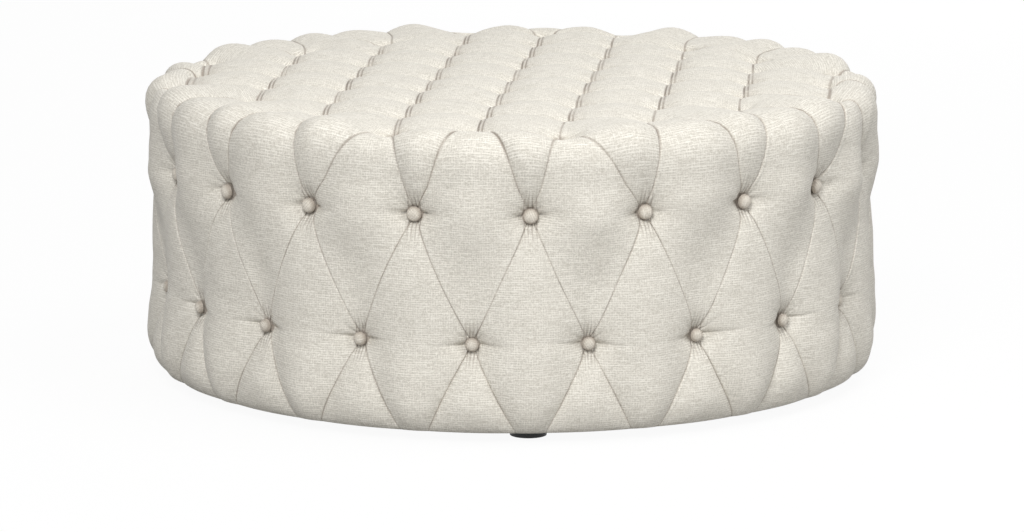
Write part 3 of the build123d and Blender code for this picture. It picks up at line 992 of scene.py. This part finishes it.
class NodeBoard:
    """A material's node tree, with short ways to add and join its nodes."""

    def __init__(self, name: str) -> None:
        """Start a material with only its output and its shader.

        Args:
            name: Name of the material.
        """
        self.material = bpy.data.materials.new(name)
        self.material.use_nodes = True
        self.tree = self.material.node_tree
        self.tree.nodes.clear()
        self.output = self.add("ShaderNodeOutputMaterial")
        self.shader = self.add("ShaderNodeBsdfPrincipled")
        self.join(self.shader, "BSDF", self.output, "Surface")

    def add(self, kind: str, inputs: dict[str, object] | None = None, **settings: object) -> bpy.types.Node:
        """Add a node.

        Args:
            kind: Type of the node.
            inputs: Socket values by name.
            settings: The node's own settings.

        Returns:
            The node.
        """
        node = self.tree.nodes.new(kind)
        for key, value in settings.items():
            setattr(node, key, value)
        for key, value in (inputs or {}).items():
            node.inputs[key].default_value = value
        return node

    def join(self, source: bpy.types.Node, out: str | int, target: bpy.types.Node, into: str | int) -> None:
        """Link one socket to another."""
        self.tree.links.new(source.outputs[out], target.inputs[into])

    def fed(
        self,
        kind: str,
        source: bpy.types.Node,
        out: str | int,
        into: str,
        inputs: dict[str, object] | None = None,
        **settings: object,
    ) -> bpy.types.Node:
        """Add a node that is fed by another.

        Args:
            kind: Type of the node.
            source: Node that feeds it.
            out: That node's socket.
            into: Socket that is fed.
            inputs: Values of other sockets by name.
            settings: The node's own settings.

        Returns:
            The node.
        """
        node = self.add(kind, inputs, **settings)
        self.join(source, out, node, into)
        return node

    def math(self, operation: str, *values: object) -> bpy.types.Node:
        """Add a sum.

        Args:
            operation: What is done with the values.
            values: Numbers, (node, socket) pairs, or nodes whose first output is meant.

        Returns:
            The node.
        """
        node = self.add("ShaderNodeMath", operation=operation)
        for index, value in enumerate(values):
            if isinstance(value, (int, float)):
                node.inputs[index].default_value = value
            else:
                source, out = value if isinstance(value, tuple) else (value, 0)
                self.join(source, out, node, index)
        return node

    def times(self, first: object, second: object) -> bpy.types.Node:
        """Multiply two values, given as in a sum."""
        return self.math("MULTIPLY", first, second)

    def ramp(self, source: bpy.types.Node, out: str | int, low: float, high: float) -> bpy.types.Node:
        """Spread a value evenly from its low and high marks to 0 and 1."""
        return self.fed("ShaderNodeMapRange", source, out, "Value", {"From Min": low, "From Max": high})

    def near(self, source: bpy.types.Node, out: str | int, low: float, high: float) -> bpy.types.Node:
        """Ease a value from 0 at its low mark to 1 at its high mark."""
        marks = {"From Min": low, "From Max": high}
        return self.fed("ShaderNodeMapRange", source, out, "Value", marks, interpolation_type="SMOOTHSTEP")

    def span(self, source: bpy.types.Node, low: float, high: float) -> bpy.types.Node:
        """Turn a share from 0 to 1 into a value from low to high."""
        return self.fed("ShaderNodeMapRange", source, 0, "Value", {"To Min": low, "To Max": high})

    def parts(self, places: bpy.types.Node, out: str) -> bpy.types.Node:
        """Split places into their X, Y and Z."""
        return self.fed("ShaderNodeSeparateXYZ", places, out, "Vector")

    def map(self, name: str) -> bpy.types.Node:
        """Add the piece's UV map of that name."""
        return self.add("ShaderNodeUVMap", uv_map=name)

    def noise(self, places: bpy.types.Node, out: str, **inputs: float) -> bpy.types.Node:
        """Add noise over some places, its socket values given by name."""
        return self.fed("ShaderNodeTexNoise", places, out, "Vector", inputs)

    def relief(self, height: bpy.types.Node, strength: float, distance: float) -> None:
        """Raise the shader's surface by a height, of which 1 is so many metres of distance."""
        bump = self.fed("ShaderNodeBump", height, 0, "Height", {"Strength": strength, "Distance": distance})
        self.join(bump, "Normal", self.shader, "Normal")

    def blend(self, share: bpy.types.Node, out: str | int, first: tuple, second: tuple) -> bpy.types.Node:
        """Mix two colours by a value.

        Args:
            share: Node that gives the value.
            out: Its socket.
            first: Colour where the value is 0, as three numbers or a (node, socket) pair.
            second: Colour where it is 1, given likewise.

        Returns:
            The node, its colour at socket 2.
        """
        node = self.add("ShaderNodeMix", data_type="RGBA")
        self.join(share, out, node, 0)
        for index, value in ((6, first), (7, second)):
            if isinstance(value[0], bpy.types.Node):
                self.join(value[0], value[1], node, index)
            else:
                node.inputs[index].default_value = (*value, 1)
        return node

    def set(self, **values: object) -> None:
        """Set constants on the shader's own sockets, underscores read as spaces."""
        for key, value in values.items():
            self.shader.inputs[key.replace("_", " ")].default_value = value


@dataclass(frozen=True)
class LinenFinish:
    """Warm ivory plain-weave linen with slubs, matte, with painted shade in seams, folds and button pockets.

    Lengths are in metres. Marks, heights, sides, reaches and edges are where a value begins and ends its
    rise from 0 to 1. The streaks' seeds and weights are those of weft, warp, grain and long weft.
    """

    light: tuple[float, float, float] = (0.860, 0.828, 0.752)
    dark: tuple[float, float, float] = (0.560, 0.528, 0.462)
    # Colour of the painted shade in seams, pleats, valleys, gathers, button pockets and button edges.
    crease: tuple[float, float, float] = (0.300, 0.246, 0.204)
    slub_length: float = 0.0046
    slub_width: float = 0.00095
    grain_length: float = 1.1
    long_slub: float = 5
    streak_seeds: tuple[float, ...] = (3.1, 8.7, 1.3, 5.9)
    streak_weights: tuple[float, ...] = (1.1, 0.7, 0.9, 0.9)
    thread: float = 0.0031
    thread_weights: tuple[float, float] = (0.26, 0.12)
    thread_marks: tuple[float, float] = (0.42, 0.60)
    tone_marks: tuple[float, float] = (1.46, 2.14)
    top_heights: tuple[float, float] = (0.372, 0.400)
    patch_scale: float = 26.0
    patch_marks: tuple[float, float] = (0.34, 0.64)
    # Width of the painted shade along seam lines, its narrowing on top, and the pleat's width for its edge.
    line: float = 0.0012
    top_narrowing: float = 0.6
    pleat: float = 0.0052
    # Painted shade on one side of the pleated seams on top: where it begins and ends.
    valley: tuple[float, float] = (0.030, 0.002)
    # Painted shade in a ring round each button's pocket: where it begins and ends.
    ring: tuple[float, float] = (0.0132, 0.0100)
    tuck_step: float = 0.0052
    tuck_scale: float = 45.0
    tuck_stray: float = 9.0
    tuck_marks: tuple[float, float] = (0.1, 0.95)
    tuck_side: tuple[float, float] = (0.0130, 0.0085)
    tuck_reach: tuple[float, float] = (0.047, 0.012)
    # Painted shade on a button's dome towards its edge: where it begins and ends, and its share.
    button_edge: tuple[float, float] = (0.0006, 0.0056)
    edge_share: float = 0.55
    weave_relief: float = 0.30

    def streaks(self, board: NodeBoard, along: float, across: float, seed: float) -> bpy.types.Node:
        """Noise over the threads, drawn out along one of their directions: place / size of a streak.

        Args:
            board: Node tree to add to.
            along: Length of a streak.
            across: Its width.
            seed: Place in the noise.

        Returns:
            The noise.
        """
        place = {"Scale": (1 / along, 1 / across, 1), "Location": (seed,) * 3}
        mapping = board.fed("ShaderNodeMapping", board.map("threads"), "UV", "Vector", place)
        return board.noise(mapping, "Vector", Scale=1.0, Detail=1.0, Roughness=0.5)

    def weave(self, board: NodeBoard) -> bpy.types.Node:
        """Tone of the threads from 0 to 1: a weighted sum of streaks, spread between the tone marks.

        Slubs along both threads, grain and long slubs are summed by streak_weights. The sine of the place
        across the thick threads is added by thread_weights, where the streaks along them are strong.

        Args:
            board: Node tree to add to.

        Returns:
            The tone.
        """
        length, width = self.slub_length, self.slub_width
        grain, slub = width * self.grain_length, length * self.long_slub
        sizes = (length, width), (width, length), (grain, width), (slub, width)
        streaks = [self.streaks(board, *size, seed) for size, seed in zip(sizes, self.streak_seeds)]
        total: object = 0.0
        for noise, weight in zip(streaks, self.streak_weights):
            total = board.math("ADD", total, board.times((noise, "Fac"), weight))
        place = board.parts(board.map("threads"), "UV")
        for out, noise, weight in zip("YX", (streaks[3], streaks[1]), self.thread_weights):
            wave = board.math("SINE", board.times((place, out), 2 * np.pi / self.thread))
            strong = board.near(noise, "Fac", *self.thread_marks)
            total = board.math("ADD", total, board.times(board.times(wave, strong), weight))
        return board.ramp(total, "Value", *self.tone_marks)

    def marks(self, board: NodeBoard) -> list[tuple[bpy.types.Node, float]]:
        """Painted shade on the weave: seam line, pleat's edge, soft valley, button's ring and gathers.

        Lines and valley ease out with the seam distances, and the ring with the distance from a button. Each
        mark is multiplied by its strength, which eases from side to top, and fades in patches by noise. The
        lines are painted shade in the creases of seams and pleats, the valley painted shade on one side of a
        pleated seam, the ring painted shade in a button's pocket and the gathers painted shade in fine folds.

        Args:
            board: Node tree to add to.

        Returns:
            Share of painted shade colour and bump depth for its share, for each mark.
        """
        gap = board.parts(board.map("seams"), "UV")
        spot = board.add("ShaderNodeTexCoord")
        on_top = board.near(board.parts(spot, "Object"), "Z", *self.top_heights)
        patches = board.noise(spot, "Object", Scale=self.patch_scale, Detail=2.0)
        uneven = board.near(patches, "Fac", *self.patch_marks)
        narrow = board.span(on_top, 1.0, self.top_narrowing)
        # Painted shade along the seam line and along the pleat's edge, as in their creases.
        line = board.near(board.times((gap, "X"), narrow), 0, self.line, 0.0)
        off = board.math("ABSOLUTE", board.math("SUBTRACT", (gap, "Y"), self.pleat))
        edge = board.near(board.times(off, narrow), 0, self.line, 0.0)
        # Painted shade in the soft valley on the pleat's side of a seam.
        valley = board.near(gap, "Y", *self.valley)
        places = board.map("puckers")
        far = board.add("ShaderNodeVectorMath", operation="LENGTH")
        board.join(places, "UV", far, 0)
        # Painted shade in the ring round the nearest button's pocket.
        ring = board.near(far, "Value", *self.ring)
        found = []
        # Each painted shade mark, its strength on side and top, its share left in faded patches, and its bump
        # depth.
        for mark, side, top, left, depth in (
            (line, 0.44, 0.80, 0.5, 2.4),
            (edge, 0.00, 0.70, 0.3, 3.0),
            (valley, 0.00, 0.17, 1.0, 0.0),
            (ring, 0.70, 0.40, 1.0, 0.0),
            (self.gathers(board, places, far), 0.46, 0.08, 1.0, 2.4),
        ):
            strength = board.times(board.span(on_top, side, top), board.span(uneven, left, 1.0))
            found.append((board.times(mark, strength), depth))
        return found

    def gathers(self, board: NodeBoard, places: bpy.types.Node, far: bpy.types.Node) -> bpy.types.Node:
        """Painted shade of fine folds up and down from each button, fading outwards and to the sides.

        They are the sine of the place across over tuck_step, its phase moved by noise, eased to sharp lines.

        Args:
            board: Node tree to add to.
            places: Places across and up from the nearest button.
            far: Distance from it.

        Returns:
            Share of a fold, used as painted shade and as bump depth.
        """
        place = board.parts(places, "UV")
        noise = board.noise(board.add("ShaderNodeTexCoord"), "Object", Scale=self.tuck_scale, Detail=1.0)
        across = board.times((place, "X"), 2 * np.pi / self.tuck_step)
        phase = board.math("ADD", across, board.times((noise, "Fac"), self.tuck_stray))
        found = board.near(board.math("SINE", phase), 0, *self.tuck_marks)
        beside = board.near(board.math("ABSOLUTE", (place, "X")), 0, *self.tuck_side)
        fade = board.near(far, "Value", *self.tuck_reach)
        return board.times(board.times(found, beside), fade)

    def painted_edge_shade(self, board: NodeBoard) -> list[tuple[bpy.types.Node, float]]:
        """Painted shade: darker cloth towards a button's edge, eased by the depth under its top, as a share
        and no depth.
        """
        low = board.near(board.parts(board.map("seams"), "UV"), "X", *self.button_edge)
        return [(board.times(low, self.edge_share), 0.0)]

    def build(self, name: str, tufted: bool = True) -> bpy.types.Material:
        """Make the material: threads from the dark to the light colour, each mark of painted shade blended to
        the crease colour.

        Args:
            name: Name of the material.
            tufted: Whether the piece carries seam distances and button places, or is a button.

        Returns:
            The material.
        """
        board = NodeBoard(name)
        tone = self.weave(board)
        colour = board.blend(tone, "Result", self.dark, self.light)
        relief = board.times(tone, self.weave_relief)
        # Painted shade: each mark darkens the colour towards the crease colour; the marks' depths also sink
        # the bump.
        for mark, depth in self.marks(board) if tufted else self.painted_edge_shade(board):
            colour = board.blend(mark, 0, (colour, 2), self.crease)
            relief = board.math("SUBTRACT", relief, board.times(mark, depth))
        board.join(colour, 2, board.shader, "Base Color")
        board.relief(relief, strength=0.8, distance=0.0007)
        board.set(Roughness=0.92, Specular_IOR_Level=0.12, Sheen_Weight=0.12, Sheen_Roughness=0.5)
        return board.material


@dataclass(frozen=True)
class GrainFinish:
    """Board or timber with grain along one direction."""

    light: tuple[float, float, float]
    dark: tuple[float, float, float]
    stretch: tuple[float, float, float] = (3.0, 40.0, 40.0)

    def build(self, name: str) -> bpy.types.Material:
        """Make the material: noise drawn out along the grain, between two colours.

        Args:
            name: Name of the material.

        Returns:
            The material.
        """
        board = NodeBoard(name)
        places = board.add("ShaderNodeTexCoord")
        mapping = board.fed("ShaderNodeMapping", places, "Object", "Vector", {"Scale": self.stretch})
        noise = board.noise(mapping, "Vector", Scale=2.0, Detail=6.0, Distortion=0.6)
        colour = board.blend(board.ramp(noise, "Fac", 0.3, 0.7), 0, self.dark, self.light)
        board.join(colour, 2, board.shader, "Base Color")
        board.relief(noise, strength=0.3, distance=0.0004)
        board.set(Roughness=0.65)
        return board.material


@dataclass(frozen=True)
class MottledFinish:
    """Plain stock with a fine uneven surface, such as moulded plastic, zinc, twine or non-woven cloth."""

    light: tuple[float, float, float]
    dark: tuple[float, float, float]
    roughness: float
    metallic: float = 0.0
    scale: float = 600.0
    bump: float = 0.0002

    def build(self, name: str) -> bpy.types.Material:
        """Make the material: fine noise between two colours.

        Args:
            name: Name of the material.

        Returns:
            The material.
        """
        board = NodeBoard(name)
        noise = board.noise(board.add("ShaderNodeTexCoord"), "Object", Scale=self.scale, Detail=3.0)
        colour = board.blend(board.ramp(noise, "Fac", 0.35, 0.65), 0, self.dark, self.light)
        board.join(colour, 2, board.shader, "Base Color")
        board.relief(noise, strength=0.4, distance=self.bump)
        board.set(Roughness=self.roughness, Metallic=self.metallic)
        return board.material


@dataclass(frozen=True)
class Underpinnings:
    """Finishes of the solids that stay: drum, fixings, dust cover and feet."""

    plywood: GrainFinish = GrainFinish((0.60, 0.43, 0.26), (0.47, 0.31, 0.17), (2.0, 30.0, 60.0))
    timber: GrainFinish = GrainFinish((0.56, 0.38, 0.21), (0.42, 0.26, 0.13), (25.0, 25.0, 2.0))
    plastic: MottledFinish = MottledFinish((0.016, 0.016, 0.017), (0.010, 0.010, 0.011), 0.5, scale=900.0)
    zinc: MottledFinish = MottledFinish((0.62, 0.62, 0.60), (0.50, 0.50, 0.49), 0.35, metallic=1.0)
    twine: MottledFinish = MottledFinish((0.70, 0.65, 0.52), (0.52, 0.47, 0.36), 0.85, scale=1500.0)
    dust: MottledFinish = MottledFinish((0.022, 0.022, 0.024), (0.012, 0.012, 0.013), 0.95, scale=1800.0)

    def dress(self) -> None:
        """Give each kept node the finish of its material slot."""
        made = {
            "plywood": self.plywood.build("plywood"),
            "timber": self.timber.build("timber"),
            "foot_plastic": self.plastic.build("foot_plastic"),
            "steel": self.zinc.build("zinc"),
            "twine": self.twine.build("twine"),
            "dust_cloth": self.dust.build("dust_cloth"),
        }
        for entry in frame["record"]["subparts"]:
            material = made.get(entry["material_slot"])
            for slot in frame["nodes"][entry["node"]].material_slots if material else ():
                slot.material = material
        log.info("solids dressed: %s", ", ".join(sorted(made)))


@dataclass(frozen=True)
class Studio:
    """Pale floor, plain soft light and the camera at the photographed angle."""

    distance: float = 6.264
    eye_height: float = 1.380
    pitch: float = 11.19
    turn: float = 6.15
    lens: float = 159.36
    film_width: float = 36.0
    sky: float = 0.39
    floor_reach: float = 40.0
    floor_tone: float = 0.9
    floor_glow: float = 0.94
    bounce: float = 0.45
    aim: float = 0.25
    lamps: tuple[tuple[str, tuple[float, float, float], float, float], ...] = (
        ("overhead", (1.5, -0.3, 3.5), 1.6, 36.0),
        ("front", (-0.4, -4.1, 3.4), 1.8, 145.0),
        ("right", (3.4, -3.0, 2.4), 1.8, 40.0),
        ("back", (0.4, 4.8, 2.0), 2.4, 60.0),
    )

    def stand(self) -> None:
        """Set up the floor, the world, the lamps and the camera."""
        self.floor()
        self.world()
        for lamp in self.lamps:
            self.lamp(*lamp)
        self.camera()
        bpy.context.scene.view_settings.view_transform = "Standard"
        log.info("studio: floor, world, lamps and camera")

    def floor(self) -> None:
        """White floor: by floor_glow its own white to camera and gloss, so that it keeps a faint shadow."""
        mesh = bpy.data.meshes.new("floor")
        reach = self.floor_reach
        corners = [(-reach, -reach, 0), (reach, -reach, 0), (reach, reach, 0), (-reach, reach, 0)]
        mesh.from_pydata(corners, [], [(0, 1, 2, 3)])
        floor = bpy.data.objects.new("floor", mesh)
        bpy.context.scene.collection.objects.link(floor)
        board = NodeBoard("floor")
        board.set(Roughness=0.9)
        glow = board.add("ShaderNodeEmission", {"Strength": 1.0})
        path = board.add("ShaderNodeLightPath")
        seen = board.math("MAXIMUM", (path, "Is Camera Ray"), (path, "Is Glossy Ray"))
        colour = board.blend(seen, 0, (self.bounce,) * 3, (self.floor_tone,) * 3)
        board.join(colour, 2, board.shader, "Base Color")
        mix = board.add("ShaderNodeMixShader")
        board.join(board.times(seen, self.floor_glow), 0, mix, 0)
        board.join(board.shader, "BSDF", mix, 1)
        board.join(glow, "Emission", mix, 2)
        board.join(mix, 0, board.output, "Surface")
        mesh.materials.append(board.material)

    def world(self) -> None:
        """White to the camera, softer as light."""
        world = bpy.data.worlds.new("studio")
        bpy.context.scene.world = world
        world.use_nodes = True
        tree = world.node_tree
        tree.nodes.clear()
        output = tree.nodes.new("ShaderNodeOutputWorld")
        mix = tree.nodes.new("ShaderNodeMixShader")
        soft, white = tree.nodes.new("ShaderNodeBackground"), tree.nodes.new("ShaderNodeBackground")
        soft.inputs["Strength"].default_value = self.sky
        for background in (soft, white):
            background.inputs["Color"].default_value = (1, 1, 1, 1)
        path = tree.nodes.new("ShaderNodeLightPath")
        seen = tree.nodes.new("ShaderNodeMath")
        seen.operation = "MAXIMUM"
        for source, target in (
            (path.outputs["Is Camera Ray"], seen.inputs[0]),
            (path.outputs["Is Transmission Ray"], seen.inputs[1]),
            (seen.outputs[0], mix.inputs[0]),
            (soft.outputs[0], mix.inputs[1]),
            (white.outputs[0], mix.inputs[2]),
            (mix.outputs[0], output.inputs["Surface"]),
        ):
            tree.links.new(source, target)

    def lamp(self, name: str, place: tuple[float, float, float], size: float, power: float) -> None:
        """Add one square soft lamp aimed at the middle of the table.

        Args:
            name: Name of the lamp.
            place: Where it stands.
            size: Length of its side.
            power: Its power in watts.
        """
        data = bpy.data.lights.new(name, "AREA")
        data.shape, data.size, data.energy = "SQUARE", size, power
        lamp = bpy.data.objects.new(name, data)
        bpy.context.scene.collection.objects.link(lamp)
        lamp.location = place
        from_table = lamp.location.copy()
        from_table.z -= self.aim
        lamp.rotation_euler = from_table.to_track_quat("Z", "Y").to_euler()

    def camera(self) -> None:
        """Place the camera: round by its turn from the -Y side, looking down by its pitch."""
        data = bpy.data.cameras.new("camera")
        data.lens, data.sensor_width = self.lens, self.film_width
        data.clip_end = 200
        camera = bpy.data.objects.new("camera", data)
        bpy.context.scene.collection.objects.link(camera)
        around = np.radians(self.turn - 90)
        camera.location = (self.distance * np.cos(around), self.distance * np.sin(around), self.eye_height)
        camera.rotation_euler = (np.radians(90 - self.pitch), 0, np.radians(self.turn))
        bpy.context.scene.camera = camera


def main() -> None:
    """Build every piece in order and report it."""
    form = Form()
    pattern = Pattern(form)
    cover = LinenCover(form, pattern).build()
    cover.data.materials.append(LinenFinish().build("linen"))
    buttons = CoveredButtons(form, pattern)
    # The buttons' linen is a darker, browner copy of the cover's linen: painted shade for domes facing
    # forward, not up.
    shaded_button_finish = LinenFinish(light=(0.800, 0.752, 0.668), dark=(0.560, 0.515, 0.440))
    shaded_button_linen = shaded_button_finish.build("shaded_button_linen", tufted=False)
    chance = np.random.default_rng(buttons.seed)
    for group in buttons.groups():
        buttons.build(*group, chance).data.materials.append(shaded_button_linen)
    Underpinnings().dress()
    Studio().stand()


if __name__ == "__main__":
    main()
